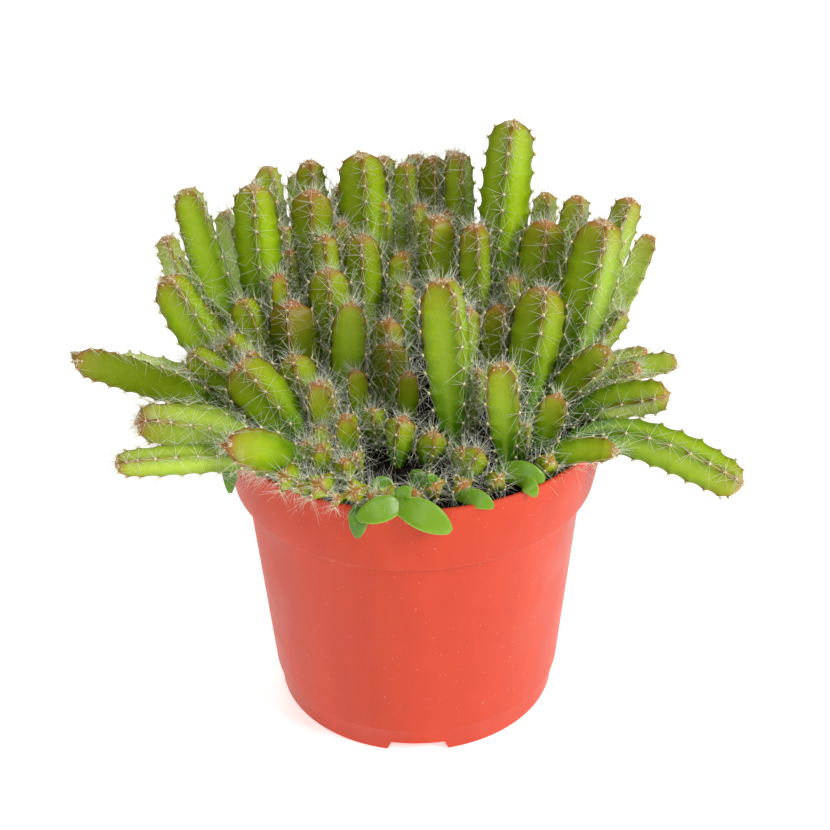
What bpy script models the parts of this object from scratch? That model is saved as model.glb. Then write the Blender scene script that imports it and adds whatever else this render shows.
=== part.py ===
"""A clump of young climbing-cactus seedlings growing in a round plastic nursery pot.

Lengths are in millimetres and become metres when a mesh is written. The origin is on the pot's
axis, on the plane that the foot ring stands on. +Z is up and -Y is the pot's front.
"""

import math

import bmesh
import bpy
import numpy as np
from mathutils import Vector

MM = 0.001
GAP = 0.3

# Pot: a thin turned shell with a flared collar, a raised floor and a notched foot ring.
POT_HEIGHT = 102.0
RIM_RADIUS = 60.0
COLLAR_HEIGHT = 24.0
COLLAR_RADIUS = 55.6
BODY_TOP_RADIUS = 52.1
FOOT_STEP_HEIGHT = 9.0
FOOT_STEP_RADIUS = 45.7
FOOT_RADIUS = 44.0
WALL = 1.4
FLOOR_UNDERSIDE = 3.6
FLOOR_THICKNESS = 1.6
POT_STEPS = 48

NOTCH_COUNT = 4
NOTCH_HEIGHT = 3.3
NOTCH_BOTTOM_WIDTH = 20.0
NOTCH_TOP_WIDTH = 16.5
DRAIN_COUNT = 6
DRAIN_RADIUS = 4.5
DRAIN_CIRCLE = 27.0
DRAIN_SIDES = 12

# Soil: it fills the shell up to a level a little below the rim.
SOIL_TOP = 97.0
SOIL_EDGE = 2.0

# Seedlings: rib valley depth by rib count, ring places along a stem and its relative width there.
VALLEY = {3: 0.46, 4: 0.62, 5: 0.74}
RINGS = ((0.0, 0.50), (0.16, 0.60), (0.38, 0.86), (0.62, 1.0), (0.83, 0.98), (0.95, 0.82), (1.0, 0.50))
BASE_LIMIT = 51.0
SAMPLES = 13
SETTLE_ROUNDS = 260
CROWDING = 0.98
LEAN_BEND = 0.28
FACING = Vector((0.0, -0.85, 0.53))

# One row for each seedling: base x, y; tip x, y, z; bow; ridge radius; ribs; turn in degrees.
# The bow is how far the middle of the stem hangs out below the straight line from base to tip.
# The turn is the first rib's angle round the stem from the side that looks forward and up.
BACK = (
    (-42, 30, -57, 35, 148.5, 2, 4.2, 3, 20),
    (-46, 20, -47, 24, 162.5, 0, 6.6, 4, 4),
    (-38, 33, -44, 41, 160.5, 0, 5.1, 4, 30),
    (-28, 43, -31, 45, 160.5, 0, 4.9, 4, 15),
    (-29, 30, -30, 32, 156.5, 0, 6.5, 4, 2),
    (-13, 36, -15, 39, 165.5, 0, 7.4, 4, 8),
    (-2, 45, -1, 47, 158.5, 0, 4.1, 4, 5),
    (8, 44, 7, 47, 160.5, 0, 4.8, 4, 5),
    (16, 40, 15, 41, 164, 0, 4.6, 4, 10),
    (26, 30, 31, 34, 177.5, -1, 7.4, 4, -6),
    (35, 36, 42, 43, 149.5, 1, 4.3, 4, 12),
    (42, 27, 51, 34, 152.5, 1, 5.0, 4, 20),
    (48, 17, 68, 26, 155.5, 2, 4.9, 4, 0),
    (36, 20, 41, 26, 148.5, 0, 6.8, 4, 4),
)
LEFT = (
    (-46, 16, -69, 22, 160.5, 3, 6.6, 4, 45),
    (-49, 8, -70, 15, 150.5, 4, 4.4, 3, 10),
    (-47, 0, -71, 5, 143.5, 3, 6.6, 4, 25),
    (-46, -12, -92, -46, 137.5, 0, 5.6, 3, 48),
    (-48, -6, -90, 0, 111, 0, 5.8, 4, 10),
    (-40, -27, -83, -50, 117.5, 0, 4.2, 4, 10),
    (-42, -21, -76, -43, 117, 1, 6.0, 4, 10),
    (-37, -17, -72, -30, 116.5, 1, 5.4, 4, 0),
    (-35, -35, -55, -49, 117, -3, 6.6, 3, 60),
    (-38, -11, -67, -13, 122, 0, 4.8, 4, 10),
    (-39, -4, -61, -5, 125, 0, 4.2, 3, 0),
    (-31, -22, -54, -16, 124, 0, 7.6, 4, 10),
)
RIGHT = (
    (47, 12, 70, 30, 140.5, 3, 4.2, 3, 40),
    (42, 4, 57, 14, 154.5, 2, 7.8, 4, 10),
    (38, -5, 58, -8, 123, 0, 5.8, 4, 30),
    (48, 2, 80, 1, 108.5, 0, 4.2, 3, 40),
    (46, -8, 75, -23, 112, 0, 5.4, 4, 10),
    (43, -29, 94, -41, 89.5, 0, 6.2, 4, -10),
    (38, -33, 58, -46, 103.5, 2, 4.2, 3, 60),
)
MIDDLE = (
    (-25, 20, -26, 22, 146.5, 0, 4.2, 4, 0),
    (-14, 23, -15, 24, 145.5, 0, 5.5, 4, 0),
    (-4, 31, -3, 28, 137.5, 0, 4.8, 4, 30),
    (8, 27, 8, 28, 149.5, 0, 5.9, 4, -20),
    (20, 18, 19, 20, 150.5, 0, 4.8, 4, 12),
    (-23, 9, -25, 12, 140.5, 0, 6.3, 4, 0),
    (-40, 5, -51, 6, 133.5, 0, 4.9, 4, 20),
    (-32, 0, -36, 4, 133.5, 0, 7.0, 4, -10),
    (-21, -3, -18, 2, 134.5, 0, 5.7, 3, 60),
    (-10, -2, -6, 0, 121.5, 0, 5.6, 4, 0),
    (12, -24, 8, -16, 151.5, -1, 7.6, 4, 30),
    (33, -8, 39, 6, 136.5, 0, 7.6, 4, 5),
    (24, 5, 27, 8, 129.5, 0, 5.3, 4, 20),
    (27, -31, 25, -26, 129.5, 0, 6.3, 4, 40),
    (38, -25, 42, -24, 117.5, 0, 4.8, 3, 50),
)
FRONT = (
    (13, -39, 19, -38, 108, 0, 4.0, 4, 0),
    (4, -30, 6, -32, 110, 0, 4.4, 4, 10),
    (-5, -29, -3, -28, 113, 0, 4.6, 4, -15),
    (-29, -11, -35, -8, 123, 0, 5.8, 4, 0),
    (-28, -21, -29, -18, 120, 0, 5.0, 4, 45),
    (-18, -26, -20, -27, 113, 0, 4.6, 4, 45),
)
REAR = (
    (-31, 40, -46, 56, 119, 0, 5.0, 4, 0),
    (-8, 48, -13, 61, 124, 0, 5.4, 3, 0),
    (22, 45, 28, 59, 122, 0, 5.4, 4, 0),
    (42, 20, 60, 46, 121, 0, 5.2, 3, 30),
)
ROWS = (
    ("back", BACK),
    ("left", LEFT),
    ("right", RIGHT),
    ("middle", MIDDLE),
    ("front", FRONT),
    ("rear", REAR),
)


def clear_scene():
    """Remove every object that the file starts with."""
    for obj in list(bpy.data.objects):
        bpy.data.objects.remove(obj)


def material(name, colour, roughness, metallic=0.0):
    """Make a Principled material."""
    mat = bpy.data.materials.new(name)
    mat.use_nodes = True
    shader = mat.node_tree.nodes["Principled BSDF"]
    shader.inputs["Base Color"].default_value = (*colour, 1.0)
    shader.inputs["Roughness"].default_value = roughness
    shader.inputs["Metallic"].default_value = metallic
    return mat


def add_object(name, mesh, mat=None):
    """Link a mesh to the scene as a named object."""
    obj = bpy.data.objects.new(name, mesh)
    bpy.context.scene.collection.objects.link(obj)
    if mat:
        mesh.materials.append(mat)
    return obj


def turned(name, outline, steps, mat):
    """Turn an outline of (radius, height) points, both ends on the axis, into a closed solid."""
    mesh = bpy.data.meshes.new(name)
    points = [(radius * MM, 0.0, height * MM) for radius, height in outline]
    edges = [(i, i + 1) for i in range(len(points) - 1)]
    mesh.from_pydata(points, edges, [])
    obj = add_object(name, mesh, mat)
    screw = obj.modifiers.new("turn", "SCREW")
    screw.angle = math.tau
    screw.steps = steps
    screw.render_steps = steps
    screw.use_merge_vertices = True
    screw.merge_threshold = 0.00001
    screw.use_smooth_shade = True
    return obj


def cut(obj, cutter, label):
    """Cut one object with another, which stays out of the model."""
    cutter.hide_render = True
    cutter.display_type = "WIRE"
    boolean = obj.modifiers.new(label, "BOOLEAN")
    boolean.operation = "DIFFERENCE"
    boolean.solver = "EXACT"
    boolean.object = cutter


def collar_radius(height):
    """Give the collar's outer radius."""
    share = (height - (POT_HEIGHT - COLLAR_HEIGHT)) / COLLAR_HEIGHT
    return COLLAR_RADIUS + (RIM_RADIUS - COLLAR_RADIUS) * share


def notch_cutter():
    """Make the wedge-sided blocks that cut the notches in the foot ring."""
    shape = bmesh.new()
    inner = FOOT_RADIUS - 4.0
    outer = FOOT_RADIUS + 4.0
    for k in range(NOTCH_COUNT):
        angle = math.tau * k / NOTCH_COUNT - math.pi / 2
        along = Vector((math.cos(angle), math.sin(angle), 0.0))
        across = Vector((-along.y, along.x, 0.0))
        corners = []
        for reach in (inner, outer):
            for half, height in (
                (-NOTCH_BOTTOM_WIDTH / 2, -1.0),
                (NOTCH_BOTTOM_WIDTH / 2, -1.0),
                (NOTCH_TOP_WIDTH / 2, NOTCH_HEIGHT),
                (-NOTCH_TOP_WIDTH / 2, NOTCH_HEIGHT),
            ):
                spot = along * reach + across * half + Vector((0.0, 0.0, height))
                corners.append(shape.verts.new(spot * MM))
        shape.faces.new(corners[3::-1])
        shape.faces.new(corners[4:])
        for i in range(4):
            j = (i + 1) % 4
            shape.faces.new((corners[i], corners[j], corners[4 + j], corners[4 + i]))
    bmesh.ops.recalc_face_normals(shape, faces=shape.faces)
    mesh = bpy.data.meshes.new("foot_notch_cutter")
    shape.to_mesh(mesh)
    shape.free()
    return add_object("foot_notch_cutter", mesh)


def drain_cutter():
    """Make the round pegs that cut the drain holes in the floor."""
    shape = bmesh.new()
    middle = (FLOOR_UNDERSIDE + FLOOR_THICKNESS / 2) * MM
    for k in range(DRAIN_COUNT):
        angle = math.tau * (k + 0.5) / DRAIN_COUNT
        made = bmesh.ops.create_cone(
            shape, cap_ends=True, segments=DRAIN_SIDES, radius1=DRAIN_RADIUS * MM,
            radius2=DRAIN_RADIUS * MM, depth=4 * FLOOR_THICKNESS * MM,
        )
        spot = (DRAIN_CIRCLE * math.cos(angle) * MM, DRAIN_CIRCLE * math.sin(angle) * MM, middle)
        bmesh.ops.translate(shape, verts=made["verts"], vec=spot)
    mesh = bpy.data.meshes.new("drain_cutter")
    shape.to_mesh(mesh)
    shape.free()
    return add_object("drain_cutter", mesh)


def make_pot():
    """Make the pot: floor, wall, collar, softened rim, foot ring, notches and drain holes."""
    collar_foot = POT_HEIGHT - COLLAR_HEIGHT
    floor_top = FLOOR_UNDERSIDE + FLOOR_THICKNESS
    outline = (
        (0.0, floor_top),
        (FOOT_STEP_RADIUS - WALL - 2.0, floor_top),
        (FOOT_STEP_RADIUS - WALL, FOOT_STEP_HEIGHT),
        (BODY_TOP_RADIUS - WALL, collar_foot),
        (COLLAR_RADIUS - WALL, collar_foot + WALL),
        (RIM_RADIUS - WALL, POT_HEIGHT - 0.4),
        (RIM_RADIUS - WALL + 0.4, POT_HEIGHT),
        (RIM_RADIUS - 0.4, POT_HEIGHT),
        (RIM_RADIUS, POT_HEIGHT - 0.4),
        (COLLAR_RADIUS + 0.3, collar_foot + 1.2),
        (COLLAR_RADIUS - 0.4, collar_foot),
        (BODY_TOP_RADIUS, collar_foot - 1.0),
        (FOOT_STEP_RADIUS, FOOT_STEP_HEIGHT),
        (FOOT_STEP_RADIUS - 0.4, FOOT_STEP_HEIGHT - 0.8),
        (FOOT_RADIUS, 0.0),
        (FOOT_RADIUS - WALL - 0.6, 0.0),
        (FOOT_RADIUS - WALL - 0.6, FLOOR_UNDERSIDE),
        (0.0, FLOOR_UNDERSIDE),
    )
    plastic = material("pot_plastic", (0.80, 0.13, 0.06), 0.42)
    pot = turned("pot", outline, POT_STEPS, plastic)
    cut(pot, notch_cutter(), "foot_notches")
    cut(pot, drain_cutter(), "drains")
    return pot


def make_soil():
    """Make the root ball of peat soil, a hair clear of the shell all round."""
    side = WALL + GAP
    collar_foot = POT_HEIGHT - COLLAR_HEIGHT
    floor_top = FLOOR_UNDERSIDE + FLOOR_THICKNESS + GAP
    top_radius = collar_radius(SOIL_TOP) - side
    outline = (
        (0.0, SOIL_TOP),
        (top_radius - 2 * SOIL_EDGE, SOIL_TOP),
        (top_radius - 0.5, SOIL_TOP - SOIL_EDGE),
        (COLLAR_RADIUS - side - 0.2, collar_foot + WALL + 1.0),
        (BODY_TOP_RADIUS - side - 0.2, collar_foot + 0.6),
        (FOOT_STEP_RADIUS - side - 0.2, FOOT_STEP_HEIGHT),
        (FOOT_STEP_RADIUS - side - 2.4, floor_top),
        (0.0, floor_top),
    )
    peat = material("peat_soil", (0.035, 0.024, 0.017), 0.95)
    return turned("soil", outline, POT_STEPS // 2, peat)


def control_points(row):
    """Give a stem's base, control point and tip.

    The middle is bowed out below the chord, and a stem that leans far bends early, by the soil.
    """
    base = np.array((row[0], row[1], SOIL_TOP + GAP), dtype=float)
    tip = np.array(row[2:5], dtype=float)
    chord = tip - base
    level = math.hypot(chord[0], chord[1])
    length = math.hypot(level, chord[2])
    sideways = np.array((chord[0], chord[1], 0.0)) / max(level, 0.001)
    hang = sideways * chord[2] / length - np.array((0.0, 0.0, level / length))
    bend = 0.5 - LEAN_BEND * level / length
    return np.array((base, base + bend * chord + 2 * row[5] * hang, tip))


def weights(stem, place):
    """Give the quadratic Bezier weights of base, control point and tip at shares of the length."""
    t = np.linspace(0.0, 1.0, 33)
    line = np.array(((1 - t) ** 2, 2 * t * (1 - t), t**2)).T @ stem
    steps = np.sqrt((np.diff(line, axis=0) ** 2).sum(axis=1))
    length = np.concatenate(((0.0,), np.cumsum(steps)))
    t = np.interp(place, length / length[-1], t)
    return np.array(((1 - t) ** 2, 2 * t * (1 - t), t**2)).T


def girth(place):
    """Give a stem's relative width at a place from 0 at its base to 1 at its tip."""
    return np.interp(place, [ring[0] for ring in RINGS], [ring[1] for ring in RINGS])


def settle(stems, radii):
    """Push crowded stems apart, keep them off the rim and keep their bases in the soil.

    Every stem is a string of round samples. Two samples that come too close move their stems'
    control points apart by as much as each point weighs there.
    """
    place = np.linspace(0.02, 0.97, SAMPLES)
    weight = np.array([weights(stem, place) for stem in stems])
    size = radii[:, None] * girth(place)[None, :]
    owner = np.repeat(np.arange(len(stems)), SAMPLES)
    need = size.ravel()[:, None] + size.ravel()[None, :]
    need = need * CROWDING + GAP
    need[owner[:, None] == owner[None, :]] = 0.0
    for _ in range(SETTLE_ROUNDS):
        spots = np.einsum("nsk,nkc->nsc", weight, stems)
        flat = spots.reshape(-1, 3)
        apart = flat[:, None, :] - flat[None, :, :]
        distance = np.sqrt((apart**2).sum(axis=2)) + 1e-9
        short = np.clip(need - distance, 0.0, None)
        push = apart / distance[:, :, None] * short[:, :, None] * 0.5
        strongest = np.abs(short).max(axis=1)
        total = push.sum(axis=1)
        size_of_total = np.sqrt((total**2).sum(axis=1)) + 1e-9
        total = total * (np.minimum(size_of_total, strongest) / size_of_total)[:, None]
        total = total.reshape(spots.shape)
        total[:, :, 2] *= 0.4
        total += rim_push(spots, size)
        stems += 0.5 * np.einsum("nsk,nsc->nkc", weight, total)
        stems[:, 0, 2] = SOIL_TOP + GAP
        reach = np.hypot(stems[:, 0, 0], stems[:, 0, 1])
        inward = np.minimum(1.0, BASE_LIMIT / reach)
        stems[:, 0, :2] *= inward[:, None]
    return stems


def rim_push(spots, size):
    """Push samples inside the pot away from its rim, and lift samples that cross it."""
    reach = np.hypot(spots[:, :, 0], spots[:, :, 1])
    out = np.minimum(reach - (RIM_RADIUS - WALL), 0.0)
    up = np.maximum(spots[:, :, 2] - POT_HEIGHT, 0.0) + 0.001
    distance = np.hypot(out, up)
    short = np.clip(size + 2 * GAP - distance, 0.0, None) / distance
    inside = out < 0.0
    crossing = ~inside & (reach < RIM_RADIUS + size)
    lift = np.clip(POT_HEIGHT + 2 * GAP + size - spots[:, :, 2], 0.0, None)
    push = np.zeros_like(spots)
    push[:, :, 0] = np.where(inside, short * out * spots[:, :, 0] / reach, 0.0)
    push[:, :, 1] = np.where(inside, short * out * spots[:, :, 1] / reach, 0.0)
    push[:, :, 2] = np.where(inside, short * up, np.where(crossing, lift, 0.0))
    return push


def ring_normal(stem, place):
    """Give the direction square to a ring: upright at the soil, then along the stem."""
    ends = weights(stem, np.array((place - 0.01, place + 0.01)).clip(0.0, 1.0)) @ stem
    tangent = (ends[1] - ends[0]) / np.linalg.norm(ends[1] - ends[0])
    share = min(place / 0.2, 1.0)
    return Vector((1 - share) * np.array((0.0, 0.0, 1.0)) + share * tangent).normalized()


def make_seedling(name, stem, radius, ribs, turn, mat):
    """Make one stem as a loft of ribbed rings with a flat base and a blunt tip."""
    shape = bmesh.new()
    rings = []
    for place, width in RINGS:
        centre = Vector(weights(stem, place) @ stem)
        normal = ring_normal(stem, place)
        side = normal.cross(FACING).normalized()
        front = side.cross(normal)
        ring = []
        for k in range(2 * ribs):
            angle = math.radians(turn) + math.pi * k / ribs
            reach = radius * width * (VALLEY[ribs] if k % 2 else 1.0)
            offset = (front * math.cos(angle) + side * math.sin(angle)) * reach
            ring.append(shape.verts.new((centre + offset) * MM))
        rings.append(ring)
    for low, high in zip(rings, rings[1:]):
        for k in range(2 * ribs):
            j = (k + 1) % (2 * ribs)
            shape.faces.new((low[k], low[j], high[j], high[k]))
    shape.faces.new(rings[0][::-1])
    shape.faces.new(rings[-1])
    mesh = bpy.data.meshes.new(name)
    shape.to_mesh(mesh)
    shape.free()
    return add_object(name, mesh, mat)


def make_seedlings():
    """Make every seedling in the table, settled clear of its neighbours."""
    flesh = material("cactus_flesh", (0.22, 0.36, 0.03), 0.45)
    names = [f"seedling_{side}_{i + 1:02d}" for side, rows in ROWS for i in range(len(rows))]
    table = [row for _, rows in ROWS for row in rows]
    stems = np.array([control_points(row) for row in table])
    radii = np.array([row[6] for row in table], dtype=float)
    stems = settle(stems, radii)
    for name, stem, row in zip(names, stems, table):
        make_seedling(name, stem, row[6], row[7], row[8], flesh)


def main():
    clear_scene()
    make_pot()
    make_soil()
    make_seedlings()


main()
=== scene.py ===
"""The looks of a potted clump of young climbing-cactus seedlings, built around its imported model.

Work is in millimetres, read from the frame, and turns into metres when a mesh is written.
Each stem takes its line, its width and the directions of its ribs from its own solid.
"""

import math

import bmesh
import bpy
import numpy as np
from mathutils import Matrix, Vector


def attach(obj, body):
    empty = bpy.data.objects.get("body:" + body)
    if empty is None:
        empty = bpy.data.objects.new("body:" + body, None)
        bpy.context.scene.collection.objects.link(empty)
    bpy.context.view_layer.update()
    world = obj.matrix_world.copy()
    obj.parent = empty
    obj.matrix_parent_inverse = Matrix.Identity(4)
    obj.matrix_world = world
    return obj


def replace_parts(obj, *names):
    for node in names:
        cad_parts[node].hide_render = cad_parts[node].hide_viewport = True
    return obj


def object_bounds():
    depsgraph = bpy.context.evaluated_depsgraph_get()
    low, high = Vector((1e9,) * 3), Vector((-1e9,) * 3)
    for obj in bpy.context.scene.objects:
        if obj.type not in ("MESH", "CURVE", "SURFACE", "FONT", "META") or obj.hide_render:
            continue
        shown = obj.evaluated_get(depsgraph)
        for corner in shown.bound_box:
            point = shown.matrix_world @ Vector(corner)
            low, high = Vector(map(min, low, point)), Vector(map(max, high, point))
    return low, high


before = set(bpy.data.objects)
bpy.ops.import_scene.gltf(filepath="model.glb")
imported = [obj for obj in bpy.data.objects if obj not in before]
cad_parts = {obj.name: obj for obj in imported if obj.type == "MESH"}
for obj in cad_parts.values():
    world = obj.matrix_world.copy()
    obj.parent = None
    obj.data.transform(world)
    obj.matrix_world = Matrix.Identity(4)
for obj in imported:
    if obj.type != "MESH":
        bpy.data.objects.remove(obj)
cad_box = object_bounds()

MM = 0.001
UP = np.array((0.0, 0.0, 1.0))
FACING = np.array((0.0, -0.85, 0.53))
rng = np.random.default_rng(7)

# Camera and its aim, in millimetres and degrees.
AIM = (0.5, 0.0, 96.0)
DISTANCE = 600.0
PITCH = 32.1
ROLL = -0.79
LENS = 85.4

# Pot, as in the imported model.
POT_HEIGHT = 102.0
RIM_RADIUS = 60.0
COLLAR_RADIUS = 55.6
COLLAR_FOOT = 78.0
BODY_TOP_RADIUS = 52.1
FOOT_STEP_HEIGHT = 9.0
FOOT_STEP_RADIUS = 45.7
FOOT_RADIUS = 44.0
WALL = 1.4
FLOOR_UNDERSIDE = 3.6
FLOOR_TOP = 5.2
POT_STEPS = 180
NOTCH_HEIGHT = 3.3
NOTCH_WIDTHS = (20.0, 16.5)
DRAIN_RADIUS = 4.5
DRAIN_CIRCLE = 27.0
SOIL_TOP = 97.0

# Stems. Skins are a little wider than the solids, most at the base, and taper by SKIN_TAPER.
DOME = 0.95
DOME_RISE = (0.16, 0.34, 0.52, 0.69, 0.83, 0.93, 0.985, 0.9995)
SKIN_AT_BASE = 1.15
SKIN_TAPER = 0.09
BOX_MARGIN = 0.018
CRUMBS = 2600
RING_STEP = 0.9
AREOLE_PITCH = 6.0
TOOTH_DEPTH = 0.12
ROOT_DEPTH = 3.0
VALLEY = {3: 0.46, 4: 0.64}
FLANK = (0.0, 0.06, 0.2, 0.42, 0.7)
GIRTH = ((0.0, 0.50), (0.16, 0.60), (0.38, 0.86), (0.62, 1.0), (0.83, 0.98), (0.95, 0.82), (1.0, 0.50))

# Stems that stand out as paler, or darker and browner, than the rest.
PALE = {
    "left_02": 0.5, "left_05": 0.9, "left_07": 0.5, "left_06": 0.3, "left_08": 0.3, "right_01": 0.9,
    "right_04": 0.3, "back_01": 0.6, "back_03": 0.3, "back_11": 0.6, "back_13": 0.3, "back_12": 0.2,
}
DARK = {
    "back_08": 0.9, "back_05": 0.5, "middle_08": 0.9, "middle_10": 0.9, "middle_13": 0.8,
    "middle_04": 0.4, "middle_05": 0.4, "left_04": 0.8, "middle_02": 0.4, "right_03": 0.5,
}

# Small seedlings that have no solid: base x, y; tip x, y, z; ridge radius.
SMALL = (
    (-38, 12, -40, 12, 139, 3.5),
    (-36, 26, -37, 26, 140, 2.3),
    (44, 20, 62, 32, 143, 4.4),
    (-48, 10, -74, 18, 146, 4.2),
    (-46, 6, -66, 8, 130, 4.0),
    (2, 50, 2, 54, 158, 4.4),
    (12, 50, 13, 54, 159, 4.4),
    (-8, 48, -8, 53, 158, 4.2),
    (28, 46, 33, 52, 154, 4.2),
    (-30, 44, -35, 50, 154, 4.2),
    (-50, 0, -66, -8, 121, 3.6),
    (50, 4, 68, -4, 114, 3.4),
    (-9, 8, -7, 8, 125, 4.7),
    (16, 5, 17, 6, 130, 3.6),
    (42, 6, 45, 8, 115, 2.7),
    (49, 7, 65, 16, 122, 3.6),
    (50, 12, 72, 12, 110, 3.0),
    (32, -29, 32, -27, 110, 3.2),
    (-45, -29, -50, -33, 106, 2.8),
    (-41, -36, -46, -41, 105.5, 2.6),
    (-35, -37, -36, -39, 108, 3.0),
    (-29, -46, -32, -52, 105.5, 2.8),
    (-20, -50, -22, -57, 105, 2.6),
    (-30, -33, -31, -34, 109, 3.2),
    (-19, -41, -20, -43, 108.5, 3.0),
    (-11, -50, -12, -57, 105, 2.6),
    (0, -51, 0, -56, 105.5, 2.6),
    (-42, -33, -75, -38, 105, 2.4),
    (-48, -4, -57, -4, 124, 2.4),
    (-26, -29, -27, -27, 110, 3.9),
    (-11, -20, -12, -20, 111, 3.8),
    (-45, -8, -48, -8, 124, 2.6),
    (-33, -42, -37, -49, 107.5, 3.9),
    (-24, -46, -27, -55, 108, 4.2),
    (-15, -48, -17, -57, 107, 4.0),
    (-7, -49, -8, -57, 105.5, 3.2),
    (-25, -36, -27, -38, 110, 4.0),
    (-16, -37, -17, -39, 107.5, 3.6),
    (-38, -34, -42, -40, 108, 3.6),
    (4, -46, 6, -54, 107, 3.6),
    (13, -46, 14, -53, 106, 3.2),
    (22, -44, 24, -50, 106, 3.0),
    (36, -37, 39, -42, 107, 3.2),
    (-2, -12, -1, -11, 118, 3.6),
    (17, -14, 19, -13, 120, 3.8),
    (14, -36, 14, -37, 108, 3.2),
    (27, -20, 28, -19, 114, 3.4),
    (-16, -10, -17, -9, 118, 3.6),
    (-24, -18, -26, -17, 118, 3.8),
    (8, 12, 8, 12, 128, 3.6),
    (-2, 18, -2, 18, 132, 3.6),
    (30, 16, 31, 18, 134, 3.8),
    (12, 36, 11, 38, 146, 3.6),
    (-20, 46, -22, 48, 150, 3.8),
    (-37, 26, -39, 30, 146, 3.4),
    (30, 42, 34, 47, 146, 3.8),
    (3, 38, 3, 40, 148, 3.8),
    (-8, 36, -9, 38, 150, 3.8),
    (22, 30, 23, 32, 146, 3.8),
    (40, 22, 44, 26, 140, 3.6),
    (-20, 31, -21, 33, 146, 3.4),
)

# Seed leaves: root, middle and end of the leaf's midline, width, and how pale it is.
LEAVES = (
    ((-1.5, -56, 102.6), (-8, -60.5, 104.4), (-16, -61, 100.5), 7.4, 0.5),
    ((-6.5, -57, 102.4), (1, -61.5, 104.2), (10, -62, 96.5), 8.6, 0.6),
    ((-15, -55, 101), (-15.5, -61, 104), (-16, -61, 94), 5.6, 0.1),
    ((-3, -56, 103), (-4, -59, 107), (-1, -58.5, 109), 4.6, 0.4),
    ((3, -50, 102), (5, -52, 108), (4, -55, 109), 5.4, 0.1),
    ((-49, -22, 103), (-54, -26.5, 104), (-54.4, -27.6, 87), 5.8, 0.2),
    ((23, -41, 102), (29, -45.5, 106), (37, -46, 102.5), 7.2, 0.4),
    ((11, -52, 101), (16, -56, 105.5), (22, -57, 101), 5.4, 0.4),
    ((29, -46, 101), (32, -51, 107), (34, -52.2, 101), 4.8, 0.5),
    ((0, -42, 101), (0, -46, 105), (2, -50, 103), 6.2, 0.0),
    ((-6, -50, 101), (-8, -51, 106), (-12, -52, 105), 5.6, 0.3),
)


# ---------------------------------------------------------------- mesh and material helpers


def srgb(red, green, blue):
    """Turn an sRGB colour of 0 to 255 into linear RGBA."""
    parts = [c / 255 for c in (red, green, blue)]
    linear = [c / 12.92 if c <= 0.04045 else ((c + 0.055) / 1.055) ** 2.4 for c in parts]
    return (*linear, 1.0)


def unit(vectors):
    vectors = np.asarray(vectors, dtype=float)
    return vectors / np.maximum(np.linalg.norm(vectors, axis=-1, keepdims=True), 1e-12)


class Shape:
    """Collects vertices, faces, their map places and point values, then makes one object."""

    def __init__(self):
        self.points = []
        self.faces = []
        self.corners = []
        self.values = {}
        self.count = 0

    def add(self, points, faces, corners=None, **values):
        """Add a patch. Its faces and its corners' map places are lists of arrays, side by side."""
        points = np.asarray(points, dtype=float)
        self.faces += [np.asarray(face, dtype=int) + self.count for face in faces]
        self.corners += corners or []
        self.points.append(points)
        for name in set(self.values) | set(values):
            have = self.values.setdefault(name, [np.zeros(self.count)])
            have.append(np.broadcast_to(values.get(name, 0.0), len(points)).astype(float))
        self.count += len(points)

    def make(self, name, coat, slot):
        """Write the mesh in metres, smooth shaded, with its point values as attributes."""
        mesh = bpy.data.meshes.new(name)
        totals = np.concatenate([np.full(len(f), f.shape[1]) for f in self.faces])
        mesh.vertices.add(self.count)
        mesh.vertices.foreach_set("co", (np.concatenate(self.points) * MM).ravel())
        mesh.loops.add(int(totals.sum()))
        mesh.loops.foreach_set("vertex_index", np.concatenate([f.ravel() for f in self.faces]))
        mesh.polygons.add(len(totals))
        mesh.polygons.foreach_set("loop_start", np.concatenate(([0], np.cumsum(totals)[:-1])))
        mesh.update(calc_edges=True)
        if self.corners:
            layer = mesh.uv_layers.new(name="OFBake")
            layer.uv.foreach_set("vector", np.concatenate([c.ravel() for c in self.corners]))
        for key, parts in self.values.items():
            layer = mesh.attributes.new(key, "FLOAT", "POINT")
            layer.data.foreach_set("value", np.concatenate(parts))
        mesh.shade_smooth()
        mesh.materials.append(coat)
        return add_piece(name, mesh)


def add_piece(name, mesh):
    """Link a mesh as a piece of the plant or its pot."""
    obj = bpy.data.objects.new(name, mesh)
    bpy.context.scene.collection.objects.link(obj)
    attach(obj, "root")
    return obj


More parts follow.
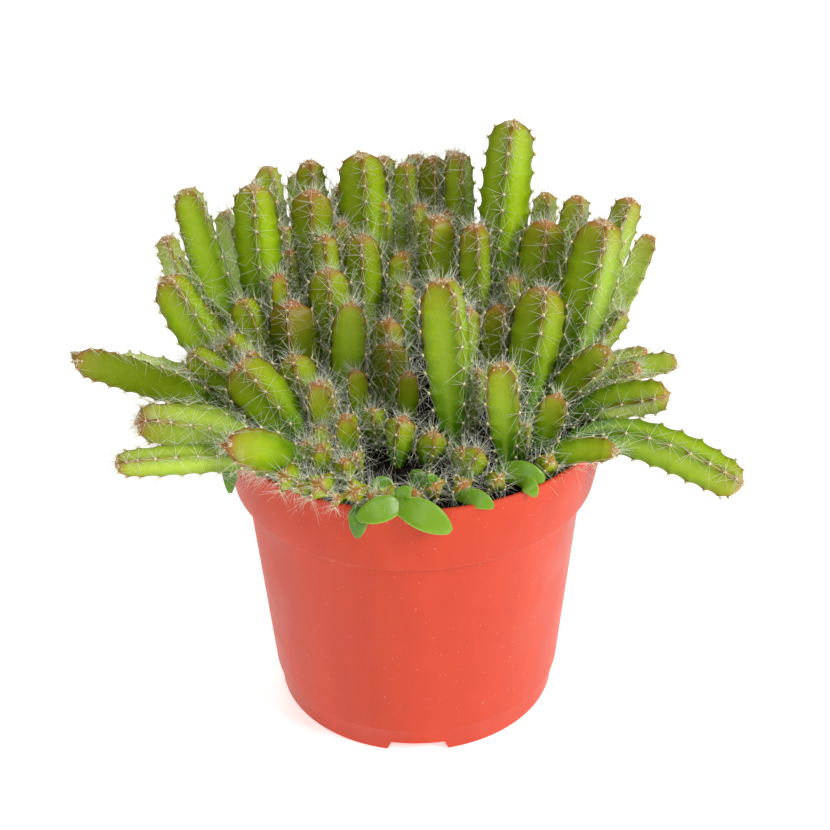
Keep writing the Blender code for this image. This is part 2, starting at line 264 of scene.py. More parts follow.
class Nodes:
    """A short way to write a Principled material's node tree."""

    def __init__(self, name, roughness, **sockets):
        self.material = bpy.data.materials.new(name)
        self.material.use_nodes = True
        self.tree = self.material.node_tree
        self.shader = self.tree.nodes["Principled BSDF"]
        self.shader.inputs["Roughness"].default_value = roughness
        for key, value in sockets.items():
            self.shader.inputs[key.replace("_", " ")].default_value = value

    def node(self, kind, **settings):
        made = self.tree.nodes.new(kind)
        for key, value in settings.items():
            setattr(made, key, value)
        return made

    def link(self, source, target):
        self.tree.links.new(source, target)

    def value(self, name):
        return self.node("ShaderNodeAttribute", attribute_name=name).outputs["Fac"]

    def noise(self, scale, detail=3.0, roughness=0.55, stretch=(1.0, 1.0, 1.0)):
        """Noise in object space; scale is in features per metre."""
        place = self.node("ShaderNodeMapping")
        place.inputs["Scale"].default_value = stretch
        self.link(self.node("ShaderNodeTexCoord").outputs["Object"], place.inputs["Vector"])
        noise = self.node("ShaderNodeTexNoise")
        noise.inputs["Scale"].default_value = scale
        noise.inputs["Detail"].default_value = detail
        noise.inputs["Roughness"].default_value = roughness
        self.link(place.outputs["Vector"], noise.inputs["Vector"])
        return noise.outputs["Fac"]

    def range(self, source, low, high, to_low=0.0, to_high=1.0):
        part = self.node("ShaderNodeMapRange", interpolation_type="SMOOTHSTEP")
        for key, number in zip(("From Min", "From Max", "To Min", "To Max"), (low, high, to_low, to_high)):
            part.inputs[key].default_value = number
        self.link(source, part.inputs["Value"])
        return part.outputs["Result"]

    def set(self, socket, item):
        """Give a socket a number or colour, or link it."""
        if isinstance(item, (int, float, tuple)):
            socket.default_value = item
        else:
            self.link(item, socket)

    def math(self, operation, first, second):
        part = self.node("ShaderNodeMath", operation=operation)
        self.set(part.inputs[0], first)
        self.set(part.inputs[1], second)
        return part.outputs[0]

    def mix(self, factor, first, second, blend="MIX"):
        part = self.node("ShaderNodeMix", data_type="RGBA", blend_type=blend)
        self.set(part.inputs[0], factor)
        self.set(part.inputs[6], first)
        self.set(part.inputs[7], second)
        return part.outputs[2]

    def bump(self, height, distance, strength=1.0):
        part = self.node("ShaderNodeBump")
        part.inputs["Strength"].default_value = strength
        part.inputs["Distance"].default_value = distance
        self.link(height, part.inputs["Height"])
        self.link(part.outputs["Normal"], self.shader.inputs["Normal"])

    def colour(self, source):
        self.link(source, self.shader.inputs["Base Color"])


# ---------------------------------------------------------------- materials


def flesh_material():
    """Waxy cactus flesh: deep green low down, yellow-green flanks with a painted highlight down each
    face's middle and painted shade toward the ridges, rusty crests and tip.
    """
    n = Nodes(
        "cactus_flesh",
        0.4,
        Subsurface_Weight=0.25,
        Subsurface_Radius=(0.9, 1.0, 0.05),
        Subsurface_Scale=0.003,
        Specular_IOR_Level=0.3,
    )
    along = n.value("along")
    crest = n.value("crest")
    tone = n.value("tone")
    pale = n.value("pale")
    blush = n.value("blush")
    areole = n.value("areole")
    mottle = n.noise(150.0)
    fine = n.noise(900.0, 4.0)
    wander = n.math("ADD", along, n.range(mottle, 0.3, 0.7, -0.07, 0.07))
    low = n.mix(n.range(wander, 0.0, 0.35), srgb(38, 94, 2), srgb(92, 146, 4))
    flank = n.mix(n.range(wander, 0.2, 0.7), low, srgb(170, 202, 4))
    # Painted highlight: a pale streak down the middle of each face; the next mix paints shade, darkening
    # the green toward each ridge.
    flank = n.mix(n.range(crest, 0.02, 0.5, 0.45, 0.0), flank, srgb(180, 214, 66))
    flank = n.mix(n.range(crest, 0.35, 0.9, 0.0, 0.5), flank, srgb(74, 120, 2))
    flank = n.mix(n.math("MULTIPLY", tone, n.range(along, 0.1, 0.6)), flank, srgb(106, 120, 2))
    flank = n.mix(n.math("MULTIPLY", pale, 0.75), flank, srgb(200, 218, 110))
    near = n.value("near")
    ripe = n.math("MULTIPLY", blush, n.range(near, 13.0, 1.0, 0.0, 0.62))
    flank = n.mix(ripe, flank, srgb(166, 134, 16))
    tip = n.math("MULTIPLY", n.range(blush, 0.2, 0.9, 0.45, 0.9), n.range(near, 2.8, 0.0))
    flank = n.mix(tip, flank, srgb(186, 112, 66))
    edge = n.math("MULTIPLY", n.range(crest, 0.9, 1.0), n.range(near, 22.0, 3.0, 0.1, 1.0))
    flank = n.mix(n.math("MULTIPLY", edge, 0.55), flank, srgb(160, 88, 28))
    flank = n.mix(n.math("MULTIPLY", areole, 0.75), flank, srgb(90, 52, 18))
    shade = n.mix(n.range(fine, 0.3, 0.7), (0.9, 0.92, 0.85, 1.0), (1.0, 1.0, 1.0, 1.0))
    n.colour(n.mix(1.0, flank, shade, "MULTIPLY"))
    n.link(n.range(mottle, 0.3, 0.75, 0.36, 0.5), n.shader.inputs["Roughness"])
    n.bump(n.math("ADD", n.math("MULTIPLY", fine, 0.5), mottle), 0.0002, 0.4)
    return n.material


def wool_material():
    """Short felt on the areoles: cream low down, salmon-tan near the growing tip."""
    n = Nodes("areole_wool", 0.9, Sheen_Weight=0.2)
    body = n.mix(n.value("tint"), srgb(252, 244, 200), srgb(226, 174, 140))
    n.colour(n.mix(n.value("heart"), srgb(130, 84, 46), body))
    return n.material


def bristle_material():
    """Fine stiff bristles, straw at the root and ivory beyond."""
    n = Nodes("bristle", 0.45)
    along = n.value("along")
    tint = n.value("tint")
    root = n.mix(tint, srgb(226, 214, 150), srgb(246, 240, 200))
    shaft = n.mix(tint, srgb(246, 250, 214), srgb(255, 255, 250))
    n.colour(n.mix(n.range(along, 0.0, 0.3), root, shaft))
    return n.material


def leaf_material():
    """Smooth fleshy seed leaves."""
    n = Nodes(
        "seed_leaf",
        0.36,
        Subsurface_Weight=0.2,
        Subsurface_Radius=(0.8, 1.0, 0.15),
        Subsurface_Scale=0.002,
    )
    mottle = n.noise(260.0)
    body = n.mix(n.value("pale"), srgb(60, 112, 4), srgb(146, 188, 30))
    body = n.mix(n.range(mottle, 0.35, 0.7, 0.0, 0.6), body, srgb(122, 168, 14))
    n.colour(n.mix(n.range(n.value("edge"), 0.85, 1.0, 0.0, 0.4), body, srgb(170, 206, 70)))
    n.bump(mottle, 0.0003, 0.4)
    return n.material


def plastic_material():
    """Moulded terracotta-red plastic with faint upright flow marks, dust and scuffs."""
    n = Nodes("pot_plastic", 0.42, Specular_IOR_Level=0.3)
    flow = n.noise(90.0, 4.0, 0.55, (1.0, 1.0, 0.12))
    mottle = n.noise(42.0, 5.0, 0.6)
    speck = n.noise(900.0, 2.0)
    scuff = n.noise(130.0, 6.0, 0.75, (1.0, 1.0, 0.35))
    body = n.mix(n.range(flow, 0.3, 0.7), srgb(203, 60, 28), srgb(212, 66, 32))
    body = n.mix(n.range(mottle, 0.4, 0.75, 0.0, 0.25), body, srgb(226, 84, 48))
    body = n.mix(n.range(speck, 0.70, 0.76, 0.0, 0.5), body, srgb(240, 170, 150))
    body = n.mix(n.range(scuff, 0.66, 0.78, 0.0, 0.35), body, srgb(236, 130, 104))
    n.colour(body)
    n.link(n.range(mottle, 0.3, 0.7, 0.36, 0.5), n.shader.inputs["Roughness"])
    n.bump(n.math("ADD", flow, n.math("MULTIPLY", speck, 0.2)), 0.0003, 0.3)
    return n.material


def soil_material():
    """Dark moist peat with paler fibres."""
    n = Nodes("peat_soil", 0.95, Specular_IOR_Level=0.2)
    coarse = n.noise(380.0, 6.0, 0.7)
    fine = n.noise(1600.0, 4.0, 0.7)
    body = n.mix(n.range(coarse, 0.35, 0.65), srgb(16, 12, 9), srgb(40, 30, 22))
    body = n.mix(n.range(fine, 0.62, 0.74), body, srgb(84, 64, 44))
    n.colour(body)
    n.bump(n.math("ADD", coarse, fine), 0.0008, 0.9)
    return n.material


FLESH = flesh_material()
WOOL = wool_material()
BRISTLE = bristle_material()
LEAF = leaf_material()
PLASTIC = plastic_material()
PEAT = soil_material()


# ---------------------------------------------------------------- reading a stem's solid


def solid_rings(node):
    """Split a stem's solid into its rings of corners, from its base to its tip."""
    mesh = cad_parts[node].data
    points = np.array([v.co for v in mesh.vertices]) / MM
    keys, index = np.unique(np.round(points, 3), axis=0, return_inverse=True)
    index = index.ravel()
    near = [set() for _ in keys]
    for edge in mesh.edges:
        a, b = index[edge.vertices[0]], index[edge.vertices[1]]
        near[a].add(b)
        near[b].add(a)
    height = np.where(np.hypot(keys[:, 0], keys[:, 1]) < COLLAR_RADIUS, keys[:, 2], np.inf)
    layer = {int(i) for i in np.flatnonzero(height < height.min() + 0.05)}
    seen = set(layer)
    rings = []
    while layer:
        rings.append(keys[sorted(layer)])
        layer = {int(j) for i in layer for j in near[i]} - seen
        seen |= layer
    return rings


def read_stem(node):
    """Give a stem's ring centres, ridge radii, rib count and the first rib's directions."""
    rings = solid_rings(node)
    ribs = len(rings[0]) // 2
    centres = np.array([ring.mean(axis=0) for ring in rings])
    radii = []
    firsts = []
    first = FACING
    for ring, centre in zip(rings, centres):
        arms = ring - centre
        reach = np.linalg.norm(arms, axis=1)
        order = np.argsort(-reach)[:ribs]
        ridges = unit(arms[order])
        radii.append(reach[order].mean())
        first = ridges[np.argmax(ridges @ first)]
        firsts.append(first)
    return centres, np.array(radii), ribs, np.array(firsts)


def plan_stem(row):
    """Give the same as read_stem for a small seedling's row."""
    base = np.array((row[0], row[1], SOIL_TOP))
    tip = np.array(row[2:5], dtype=float)
    share = np.array([place for place, _ in GIRTH])[:, None]
    level = math.hypot(tip[0] - base[0], tip[1] - base[1])
    bend = base + (tip - base) * (0.5 - 0.28 * level / np.linalg.norm(tip - base))
    bend[2] += 0.35 * level
    centres = (1 - share) ** 2 * base + 2 * share * (1 - share) * bend + share**2 * tip
    radii = row[5] * np.array([width for _, width in GIRTH]) * 1.02
    ribs = int(rng.choice((3, 4, 4)))
    turn = rng.uniform(0.0, math.tau)
    side = np.array((math.cos(turn), math.sin(turn), 0.1))
    tangent = unit(np.gradient(centres, axis=0))
    firsts = unit(side - (tangent @ side)[:, None] * tangent)
    return centres, radii, ribs, firsts


def smooth_between(knots, values, places):
    """Interpolate along a curve with Catmull-Rom slopes."""
    slopes = np.gradient(values, knots, axis=0)
    cell = np.clip(np.searchsorted(knots, places, side="right") - 1, 0, len(knots) - 2)
    width = (knots[cell + 1] - knots[cell])[:, None]
    t = ((places - knots[cell]) / width[:, 0])[:, None]
    a, b = values[cell], values[cell + 1]
    da, db = slopes[cell] * width, slopes[cell + 1] * width
    return (
        (2 * t**3 - 3 * t**2 + 1) * a
        + (t**3 - 2 * t**2 + t) * da
        + (-2 * t**3 + 3 * t**2) * b
        + (t**3 - t**2) * db
    )


# ---------------------------------------------------------------- stems


class Stem:
    """One stem's centreline, frames and width, in fine rings from below the soil to its tip."""

    def __init__(self, centres, radii, ribs, firsts):
        self.ribs = ribs
        steps = np.linalg.norm(np.diff(centres, axis=0), axis=1)
        knots = np.concatenate(([0.0], np.cumsum(steps)))
        self.length = knots[-1]
        self.width = float(radii.max())
        cap = DOME * self.width
        count = max(int((self.length + ROOT_DEPTH) / RING_STEP), 14)
        body = np.linspace(-ROOT_DEPTH, self.length - cap, count)
        rise = np.array(DOME_RISE)
        self.place = np.concatenate((body, self.length - cap + rise * cap))
        inside = np.clip(self.place, 0.0, self.length)
        self.line = smooth_between(knots, centres, inside)
        self.line[:, 2] += np.minimum(self.place, 0.0)
        width = smooth_between(knots, radii[:, None], np.minimum(inside, body[-1]))[:, 0]
        width *= SKIN_AT_BASE - SKIN_TAPER * np.clip(inside / self.length, 0.0, 1.0)
        width[count:] *= (1 - rise**2.2) ** 0.5
        self.width_at = width
        self.tangent = unit(np.gradient(self.line, axis=0))
        side = smooth_between(knots, firsts, inside)
        side -= (side * self.tangent).sum(axis=1, keepdims=True) * self.tangent
        self.side = unit(side)
        self.across = np.cross(self.tangent, self.side)

    def direction(self, angle):
        return math.cos(angle) * self.side + math.sin(angle) * self.across

    def areoles(self, offset):
        """Places of one rib's areoles, closer together near the soil and near the tip."""
        spots = []
        place = 1.2 + offset * AREOLE_PITCH * 0.6
        while place < self.length - 0.5:
            spots.append(place)
            rest = self.length - place
            pitch = AREOLE_PITCH * min(0.42 + place / 22, 0.24 + rest / 18, 1.0)
            place += pitch * rng.uniform(0.9, 1.1)
        return np.array(spots)


def scallop(stem, spots):
    """Give each ring's depth between two areoles, from 0 at an areole to 1 below the next one."""
    marks = np.concatenate(([spots[0] - 5.0], spots, [stem.length + 2.0]))
    cell = np.clip(np.searchsorted(marks, stem.place, side="right") - 1, 0, len(marks) - 2)
    phase = (stem.place - marks[cell]) / (marks[cell + 1] - marks[cell])
    return np.abs(np.sin(np.pi * np.clip(phase, 0.0, 1.0) ** 0.75)) ** 0.8


def stem_columns(stem, spots, valley):
    """Give the skin's columns round the stem: each rib's crest and flanks, and the valleys.

    The face between two crests is a shallow hollow, a parabola across its width.
    """
    half = math.pi / stem.ribs
    body = stem.width_at
    columns = []
    for k in range(stem.ribs):
        depth = scallop(stem, spots[k])
        slim = np.clip(stem.width / np.maximum(body, 0.3 * stem.width), 1.0, 1.5)
        top = body * (1 - TOOTH_DEPTH * depth * slim)
        nearest = np.abs(stem.place[:, None] - (spots[k] - 0.6)[None, :]).min(axis=1)
        dark = np.clip(1 - nearest / 0.8, 0.0, 1.0)
        thick = 0.075 * body + 0.1 + 0.16 * (1 - depth)
        thick = np.minimum(thick, 0.4 * body)
        out = stem.direction(2 * half * k)
        turn = stem.direction(2 * half * k + math.pi / 2)
        chord = body * math.cos(half)
        sink = body * (valley - math.cos(half))
        edge = (out * math.cos(half) - turn * math.sin(half)) * (chord + sink)[:, None]
        columns.append((edge, 0.0, dark * 0.0))
        for sign, shares in ((-1.0, FLANK[:0:-1]), (0.0, FLANK[:1]), (1.0, FLANK[1:])):
            for w in shares:
                ease = min(w / FLANK[1], 1.0)
                face = w * chord + (2 * w - w * w) * sink
                reach = (1 - w) * (top - 0.3 * thick * ease) + face * math.cos(half)
                wide = (1 - w) * thick * ease + face * math.sin(half)
                spot = out * reach[:, None] + sign * turn * wide[:, None]
                columns.append((spot, 1 - w, dark * max(0.0, 1 - w / 0.2)))
    return columns


def stem_skin(name, stem, spots, look):
    """Make the ribbed skin as rings of columns, closed below the soil and at the tip."""
    columns = stem_columns(stem, spots, VALLEY[stem.ribs])
    around = len(columns)
    rings = len(stem.line)
    grid = np.stack([spot for spot, _, _ in columns], axis=1) + stem.line[:, None, :]
    points = np.concatenate((grid.reshape(-1, 3), [stem.line[0], stem.line[-1]]))
    i = np.arange(rings - 1)[:, None]
    j = np.arange(around)[None, :]
    after = (j + 1) % around
    ring = np.arange(around)
    nxt = (ring + 1) % around
    last = (rings - 1) * around
    faces = [
        np.stack([a * around + b for a, b in ((i, j), (i, after), (i + 1, after), (i + 1, j))], -1),
        np.stack((nxt, ring, np.full(around, rings * around)), axis=1),
        np.stack((last + ring, last + nxt, np.full(around, rings * around + 1)), axis=1),
    ]
    faces[0] = faces[0].reshape(-1, 4)
    up = 0.04 + 0.92 * np.arange(rings) / (rings - 1)
    low = np.broadcast_to(up[:-1, None], (rings - 1, around))
    high = np.broadcast_to(up[1:, None], (rings - 1, around))
    left = np.broadcast_to(j / around, low.shape)
    right = np.broadcast_to((j + 1) / around, low.shape)
    quad = ((left, low), (right, low), (right, high), (left, high))
    sides = np.stack([np.stack(pair, -1) for pair in quad], -2)
    fans = []
    for edge, pole in ((up[0], 0.0), (up[-1], 1.0)):
        a, b = ring / around, (ring + 1) / around
        first, second = (b, a) if pole == 0.0 else (a, b)
        rim = np.full(around, edge)
        triangle = ((first, rim), (second, rim), ((a + b) / 2, np.full(around, pole)))
        fans.append(np.stack([np.stack(pair, -1) for pair in triangle], -2))
    along = np.clip(stem.place / stem.length, 0.0, 1.0)
    near = (stem.length - stem.place) * max(26.0 / stem.length, 1.0)
    shape = Shape()
    shape.add(
        points,
        faces,
        [sides.reshape(-1, 4, 2), *fans],
        along=np.concatenate((np.repeat(along, around), (0.0, 1.0))),
        near=np.concatenate((np.repeat(near, around), (near[0], 0.0))),
        crest=np.concatenate((np.tile([share for _, share, _ in columns], rings), (0.0, 0.5))),
        areole=np.concatenate((np.stack([dark for _, _, dark in columns], axis=1).ravel(), (0.0, 0.0))),
        **look,
    )
    return shape.make(name, FLESH, "cactus_flesh")


class Wool:
    """Collects the felt cushions on one group's areoles."""

    def __init__(self):
        ball = bmesh.new()
        bmesh.ops.create_icosphere(ball, subdivisions=1, radius=1.0)
        self.points = np.array([v.co for v in ball.verts])
        self.faces = np.array([[v.index for v in f.verts] for f in ball.faces])
        ball.free()
        self.shape = Shape()

    def add(self, spot, out, up, size, tint):
        """Add one low cushion; its heart lies on its lower side."""
        side = np.cross(up, out)
        made = self.points * (0.72 * size, size, 0.6 * size) @ np.stack((side, up, out))
        heart = np.clip(0.75 + 0.8 * self.points[:, 1], 0.0, 1.0)
        place = np.stack((np.full(len(heart), 0.05 + 0.9 * tint), 0.05 + 0.9 * heart), axis=1)
        place[:, 0] += 0.01 * self.points[:, 0]
        self.shape.add(made + spot, [self.faces], [place[self.faces]], tint=tint, heart=heart)


def room_ahead(roots, ways):
    """Give how far each bristle can run before it leaves the plant's box and its small margin."""
    low, high = (np.array(corner) / MM for corner in cad_box)
    margin = BOX_MARGIN * (high - low)
    wall = np.where(ways > 0, high + margin, low - margin)
    gap = (wall - roots) / np.where(np.abs(ways) < 1e-4, 1e-4, ways)
    return np.maximum(np.abs(gap).min(axis=1), 0.6)


class Bristles:
    """Collects thin tapered three-sided hairs for one group of stems."""

    LEVELS = ((0.0, 1.0), (0.4, 0.8), (0.75, 0.5))

    def __init__(self):
        self.rows = []

    def add(self, root, direction, length, thick, droop):
        self.rows.append((*root, *direction, length, thick, droop))

    def make(self, name):
        rows = np.array(self.rows)
        count = len(rows)
        root, way = rows[:, :3], unit(rows[:, 3:6])
        thick, droop = rows[:, 7], rows[:, 8]
        length = np.minimum(rows[:, 6], room_ahead(root, way))
        helper = np.where(np.abs(way[:, 2:]) < 0.9, UP, np.array((1.0, 0.0, 0.0)))
        side = unit(np.cross(way, helper))
        other = np.cross(way, side)
        points = []
        along = []
        for place, width in self.LEVELS:
            centre = root + way * (length * place)[:, None] - UP * (droop * place**2)[:, None]
            for k in range(3):
                angle = math.tau * k / 3
                arm = math.cos(angle) * side + math.sin(angle) * other
                points.append(centre + arm * (thick * width)[:, None])
                along.append(place)
        points.append(root + way * length[:, None] - UP * droop[:, None])
        along.append(1.0)
        along = np.tile(along, count)
        tint = np.repeat(rng.random(count), 10)
        start = np.arange(count)[:, None] * 10
        quads = []
        for level in (0, 3):
            for k in range(3):
                j = (k + 1) % 3
                quads.append(start + (level + k, level + j, level + 3 + j, level + 3 + k))
        tips = [start + (6 + k, 6 + (k + 1) % 3, 9) for k in range(3)]
        faces = [np.concatenate(quads), np.concatenate(tips)]
        column = 0.02 + 0.9 * tint + 0.02 * (np.arange(10 * count) % 3)
        place = np.stack((column, 0.01 + 0.98 * along), axis=1)
        shape = Shape()
        points = np.stack(points, axis=1).reshape(-1, 3)
        shape.add(points, faces, [place[f] for f in faces], along=along, tint=tint)
        return shape.make(name, BRISTLE, "cactus_flesh")


def stem_bristles(wool, bristles, stem, spots):
    """Add the areoles' felt and bristles, and a tuft on the tip."""
    half = math.pi / stem.ribs
    small = min(stem.width / 5.0, 1.0)
    for k in range(stem.ribs):
        arm = stem.direction(2 * half * k)
        for place in spots[k]:
            i = int(np.argmin(np.abs(stem.place - place)))
            up = stem.tangent[i]
            out = unit(arm[i] + 0.25 * up)
            spot = stem.line[i] + arm[i] * stem.width_at[i] * 0.99
            share = place / stem.length
            size = (0.4 + 0.035 * stem.width) * rng.uniform(0.85, 1.15)
            tint = np.clip((share - 0.85) / 0.15, 0.0, 1.0) * rng.uniform(0.5, 1.0)
            wool.add(spot, out, up, size, tint)
            side = np.cross(up, out)
            fewest = 2 if share < 0.2 else 6 if share < 0.45 else 9
            count = int((0.6 + 0.4 * small) * rng.integers(fewest, fewest + 4))
            start = rng.uniform(0.0, math.tau)
            for n in range(count):
                angle = start + math.tau * n / count + rng.uniform(-0.35, 0.35)
                tilt = rng.uniform(0.1, 0.8)
                way = tilt * out + math.cos(angle) * side + math.sin(angle) * up
                scale = min(0.6 + 1.6 * share, 1.25 - 0.4 * share)
                length = rng.uniform(3.4, 9.8) * scale * (0.7 + 0.3 * small)
                bristles.add(spot, way, length, rng.uniform(0.036, 0.052), rng.uniform(0.0, 0.6))
    top, up = stem.line[-1], stem.tangent[-1]
    reach = 5.0 if stem.width > 4.5 else 6.5
    for _ in range(int(26 + 4 * stem.width)):
        angle = rng.uniform(0.0, math.tau)
        spread = rng.uniform(0.1, 1.6)
        arm = math.cos(angle) * stem.side[-1] + math.sin(angle) * stem.across[-1]
        spot = top - up * rng.uniform(0.3, 1.4) + arm * rng.uniform(0.1, 0.4) * stem.width
        bristles.add(spot, up + spread * arm, rng.uniform(1.6, reach), 0.045, 0.1)
    for _ in range(int(4 + 1.6 * stem.width)):
        angle = rng.uniform(0.0, math.tau)
        arm = math.cos(angle) * stem.side[-1] + math.sin(angle) * stem.across[-1]
        away = rng.uniform(0.0, 0.5)
        spot = top - up * (0.3 + away**2 * 0.7 * stem.width) + arm * away * stem.width
        wool.add(spot, up, arm, rng.uniform(0.4, 0.7), rng.uniform(0.3, 1.0))


GROUPS = ("back", "left", "right", "middle", "front", "rear")


def make_seedlings():
    """Build every stem that has a solid, then the small ones, with bristles for each group."""
    plans = {group: {} for group in GROUPS}
    for node in sorted(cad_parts):
        if node.startswith("seedling_"):
            plans[node.split("_")[1]][node] = read_stem(node)
    for i, row in enumerate(SMALL):
        group = "small_front" if row[1] < 0 else "small_back"
        plans.setdefault(group, {})[f"small_seedling_{i + 1:02d}"] = plan_stem(row)
    for group, stems in plans.items():
        wool = Wool()
        bristles = Bristles()
        for name, plan in stems.items():
            stem = Stem(*plan)
            spots = [stem.areoles((k * 0.5) % 1.0) for k in range(stem.ribs)]
            key = name.removeprefix("seedling_")
            look = {
                "tone": DARK.get(key, rng.uniform(0.0, 0.35)),
                "pale": PALE.get(key, 0.0),
                "blush": rng.uniform(0.3, 0.9),
            }
            piece = stem_skin(f"{name}_stem", stem, spots, look)
            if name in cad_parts:
                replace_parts(piece, name)
            stem_bristles(wool, bristles, stem, spots)
        bristles.make(f"bristles_{group}")
        wool.shape.make(f"areoles_{group}", WOOL, "cactus_flesh")


# ---------------------------------------------------------------- leaves


def make_leaf(name, root, middle, end, width, pale):
    """Make one seed leaf: a fleshy oval bent along its midline, hollowed a little on top."""
    root, middle, end = (np.array(p, dtype=float) for p in (root, middle, end))
    rows, across = 18, 12
    share = np.linspace(0.0, 1.0, rows)[:, None]
    line = (1 - share) ** 2 * root + 2 * share * (1 - share) * middle + share**2 * end
    tangent = unit(np.gradient(line, axis=0))
    side = unit(np.cross(tangent, FACING))
    normal = np.cross(side, tangent)
    profile = np.clip(np.sin(np.pi * np.clip(share * 0.93 + 0.05, 0.0, 1.0) ** 1.25), 0.03, 1.0) ** 0.62
    half = 0.5 * width * profile
    angle = math.tau * np.arange(across) / across
    flat = np.cos(angle)[None, :] * half
    thick = np.sin(angle)[None, :] * (0.11 * width * profile)
    cup = (np.abs(np.cos(angle)) ** 2)[None, :] * half * 0.16
    spread = flat[:, :, None] * side[:, None, :]
    points = line[:, None, :] + spread + (thick + cup)[:, :, None] * normal[:, None, :]
    ends = [line[0] - 0.1 * tangent[0], line[-1] + 0.1 * tangent[-1]]
    points = np.concatenate((points.reshape(-1, 3), ends))
    i = np.arange(rows - 1)[:, None] * across
    j = np.arange(across)[None, :]
    after = (j + 1) % across
    ring = np.arange(across)
    nxt = (ring + 1) % across
    last = (rows - 1) * across
    faces = [
        np.stack((i + j, i + after, i + across + after, i + across + j), axis=-1).reshape(-1, 4),
        np.stack((nxt, ring, np.full(across, rows * across)), axis=1),
        np.stack((last + ring, last + nxt, np.full(across, rows * across + 1)), axis=1),
    ]
    edge = np.concatenate((np.tile(np.abs(np.cos(angle)), rows), (1.0, 1.0)))
    shape = Shape()
    shape.add(points, faces, edge=edge, pale=pale)
    return shape.make(name, LEAF, "cactus_flesh")


# ---------------------------------------------------------------- pot and soil


def arc(middle, radius, start, stop, steps=4):
    """Give the points of a small arc in a profile, angles in degrees."""
    turn = [math.radians(start + (stop - start) * i / steps) for i in range(steps + 1)]
    return [(middle[0] + radius * math.cos(a), middle[1] + radius * math.sin(a)) for a in turn]


def boolean_cut(obj, cutter):
    """Cut with a helper mesh, then drop the helper."""
    modifier = obj.modifiers.new("cut", "BOOLEAN")
    modifier.object = cutter
    bpy.context.view_layer.update()
    shape = bpy.data.meshes.new_from_object(obj.evaluated_get(bpy.context.evaluated_depsgraph_get()))
    obj.modifiers.remove(modifier)
    obj.data = shape
    bpy.data.objects.remove(cutter)


def helper_object(name, shape):
    bmesh.ops.recalc_face_normals(shape, faces=shape.faces)
    mesh = bpy.data.meshes.new(name)
    shape.to_mesh(mesh)
    shape.free()
    obj = bpy.data.objects.new(name, mesh)
    bpy.context.scene.collection.objects.link(obj)
    return obj


def make_pot():
    """Make the thin moulded pot finely turned, with its rounded rim, notches and drain holes."""
    rim = WALL / 2
    outline = [(0.0, FLOOR_TOP), (FOOT_STEP_RADIUS - WALL - 2.0, FLOOR_TOP)]
    outline += [(FOOT_STEP_RADIUS - WALL, FOOT_STEP_HEIGHT), (BODY_TOP_RADIUS - WALL, COLLAR_FOOT)]
    outline += [(COLLAR_RADIUS - WALL, COLLAR_FOOT + WALL)]
    outline += arc((RIM_RADIUS - rim, POT_HEIGHT - rim), rim, 180, 0, 8)
    outline += arc((COLLAR_RADIUS - 0.7, COLLAR_FOOT + 0.9), 0.9, 0, -90)
    outline += arc((BODY_TOP_RADIUS + 0.6, COLLAR_FOOT - 0.6), 0.6, 90, 180, 3)
    outline += arc((FOOT_STEP_RADIUS - 0.5, FOOT_STEP_HEIGHT + 0.2), 0.5, 0, -90, 3)
    outline += [(FOOT_STEP_RADIUS - 0.9, FOOT_STEP_HEIGHT - 0.9)]
    outline += arc((FOOT_RADIUS - 0.4, 0.4), 0.4, 0, -90, 3)
    outline += [(FOOT_RADIUS - WALL - 0.6, 0.0), (FOOT_RADIUS - WALL - 0.6, FLOOR_UNDERSIDE)]
    outline += [(0.0, FLOOR_UNDERSIDE)]
    shape = bmesh.new()
    verts = [shape.verts.new((r * MM, 0.0, z * MM)) for r, z in outline]
    edges = [shape.edges.new(pair) for pair in zip(verts, verts[1:])]
    bmesh.ops.spin(
        shape, geom=verts + edges, cent=(0, 0, 0), axis=(0, 0, 1), angle=math.tau,
        steps=POT_STEPS, use_merge=True,
    )
    bmesh.ops.remove_doubles(shape, verts=shape.verts, dist=0.00001)
    pot = helper_object("moulded_pot", shape)
    notches = bmesh.new()
    for k in range(4):
        turn = math.tau * k / 4 - math.pi / 2
        along = np.array((math.cos(turn), math.sin(turn), 0.0))
        across = np.array((-along[1], along[0], 0.0))
        corners = []
        for reach in (FOOT_RADIUS - 4.0, FOOT_RADIUS + 4.0):
            for half, height in (
                (-NOTCH_WIDTHS[0] / 2, -1.0),
                (NOTCH_WIDTHS[0] / 2, -1.0),
                (NOTCH_WIDTHS[1] / 2, NOTCH_HEIGHT),
                (-NOTCH_WIDTHS[1] / 2, NOTCH_HEIGHT),
            ):
                corners.append(notches.verts.new((along * reach + across * half + UP * height) * MM))
        notches.faces.new(corners[:4])
        notches.faces.new(corners[4:])
        for i in range(4):
            j = (i + 1) % 4
            notches.faces.new((corners[i], corners[j], corners[4 + j], corners[4 + i]))
    boolean_cut(pot, helper_object("notches", notches))
    drains = bmesh.new()
    for k in range(6):
        turn = math.tau * (k + 0.5) / 6
        spot = Vector((math.cos(turn), math.sin(turn), 0.0)) * DRAIN_CIRCLE * MM
        spot.z = FLOOR_UNDERSIDE * MM
        bmesh.ops.create_cone(
            drains, cap_ends=True, segments=32, radius1=DRAIN_RADIUS * MM, radius2=DRAIN_RADIUS * MM,
            depth=8 * MM, matrix=Matrix.Translation(spot),
        )
    boolean_cut(pot, helper_object("drains", drains))
    mesh = pot.data
    bpy.data.objects.remove(pot)
    mesh.shade_smooth()
    mesh.set_sharp_from_angle(angle=math.radians(38))
    mesh.materials.clear()
    mesh.materials.append(PLASTIC)
    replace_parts(add_piece("moulded_pot", mesh), "pot")


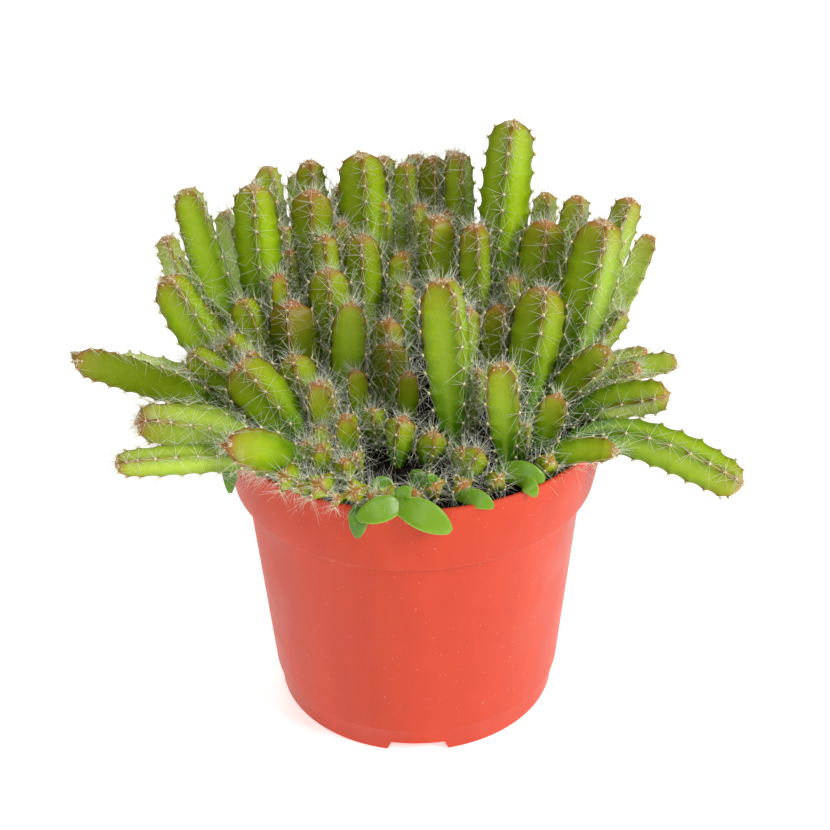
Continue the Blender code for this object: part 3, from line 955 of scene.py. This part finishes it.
def make_crumbs():
    """Scatter peat crumbs over the soil's top."""
    ball = bmesh.new()
    bmesh.ops.create_icosphere(ball, subdivisions=1, radius=1.0)
    points = np.array([v.co for v in ball.verts])
    faces = np.array([[v.index for v in f.verts] for f in ball.faces])
    ball.free()
    shape = Shape()
    for _ in range(CRUMBS):
        reach = 56.0 * math.sqrt(rng.random())
        turn = rng.uniform(0.0, math.tau)
        size = rng.uniform(0.35, 1.5) ** 1.3
        stretch = rng.uniform(0.6, 1.5, 3) * size
        level = SOIL_TOP - 0.1 - max(0.0, reach - 54.0) * 0.8
        spot = np.array((reach * math.cos(turn), reach * math.sin(turn), level))
        lumpy = points * (1 + 0.25 * rng.standard_normal((len(points), 1))) * stretch
        twist = unit(rng.standard_normal(3))
        other = unit(np.cross(twist, (0.3, 0.5, 0.8)))
        basis = np.stack((twist, other, np.cross(twist, other)))
        shape.add(lumpy @ basis + spot, [faces])
    shape.make("peat_crumbs", PEAT, "peat_soil")


# ---------------------------------------------------------------- stage


def make_camera():
    """Set the camera on its aim from the front, looking down, with a slight roll."""
    pitch, roll = math.radians(PITCH), math.radians(ROLL)
    forward = Vector((0.0, math.cos(pitch), -math.sin(pitch)))
    level = Vector((1.0, 0.0, 0.0))
    above = level.cross(forward)
    right = math.cos(roll) * level + math.sin(roll) * above
    up = right.cross(forward)
    turn = Matrix((right, up, -forward)).transposed().to_4x4()
    data = bpy.data.cameras.new("camera")
    data.lens = LENS
    data.sensor_width = 36.0
    data.clip_start = 0.01
    camera = bpy.data.objects.new("camera", data)
    camera.matrix_world = Matrix.Translation((Vector(AIM) - forward * DISTANCE) * MM) @ turn
    bpy.context.scene.collection.objects.link(camera)
    bpy.context.scene.camera = camera


def add_area(name, place, size, power, aim=(0.0, 0.0, 0.1)):
    data = bpy.data.lights.new(name, "AREA")
    data.shape = "DISK"
    data.size = size
    data.energy = power
    lamp = bpy.data.objects.new(name, data)
    lamp.location = place
    lamp.rotation_euler = (Vector(aim) - Vector(place)).to_track_quat("-Z", "Y").to_euler()
    bpy.context.scene.collection.objects.link(lamp)


def make_stage():
    """Make a white floor under a bright even sky, with wide soft lamps."""
    bpy.ops.mesh.primitive_plane_add(size=8.0, location=(0.0, 0.0, -0.0002))
    floor = bpy.context.active_object
    floor.name = "floor"
    n = Nodes("floor_white", 0.6, Specular_IOR_Level=0.1)
    n.colour(n.mix(n.range(n.noise(3.0), 0.4, 0.6), (0.93, 0.93, 0.93, 1.0), (0.95, 0.95, 0.95, 1.0)))
    n.shader.inputs["Emission Color"].default_value = (1.0, 1.0, 1.0, 1.0)
    n.shader.inputs["Emission Strength"].default_value = 0.55
    floor.data.materials.append(n.material)
    world = bpy.data.worlds.new("studio")
    bpy.context.scene.world = world
    world.use_nodes = True
    back = world.node_tree.nodes["Background"]
    back.inputs["Color"].default_value = (1.0, 1.0, 1.0, 1.0)
    back.inputs["Strength"].default_value = 0.26
    add_area("key", (0.9, -0.55, 0.75), 0.42, 9.6)
    add_area("front", (0.0, -0.95, 0.85), 0.45, 2.3)
    add_area("back_light", (-0.2, 0.75, 0.9), 0.6, 4.4)
    bpy.context.scene.view_settings.view_transform = "Standard"


make_camera()
make_stage()
make_seedlings()
for i, leaf in enumerate(LEAVES):
    make_leaf(f"seed_leaf_{i + 1:02d}", *leaf)
make_pot()
make_crumbs()
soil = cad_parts["soil"].data
soil.materials.clear()
soil.materials.append(PEAT)
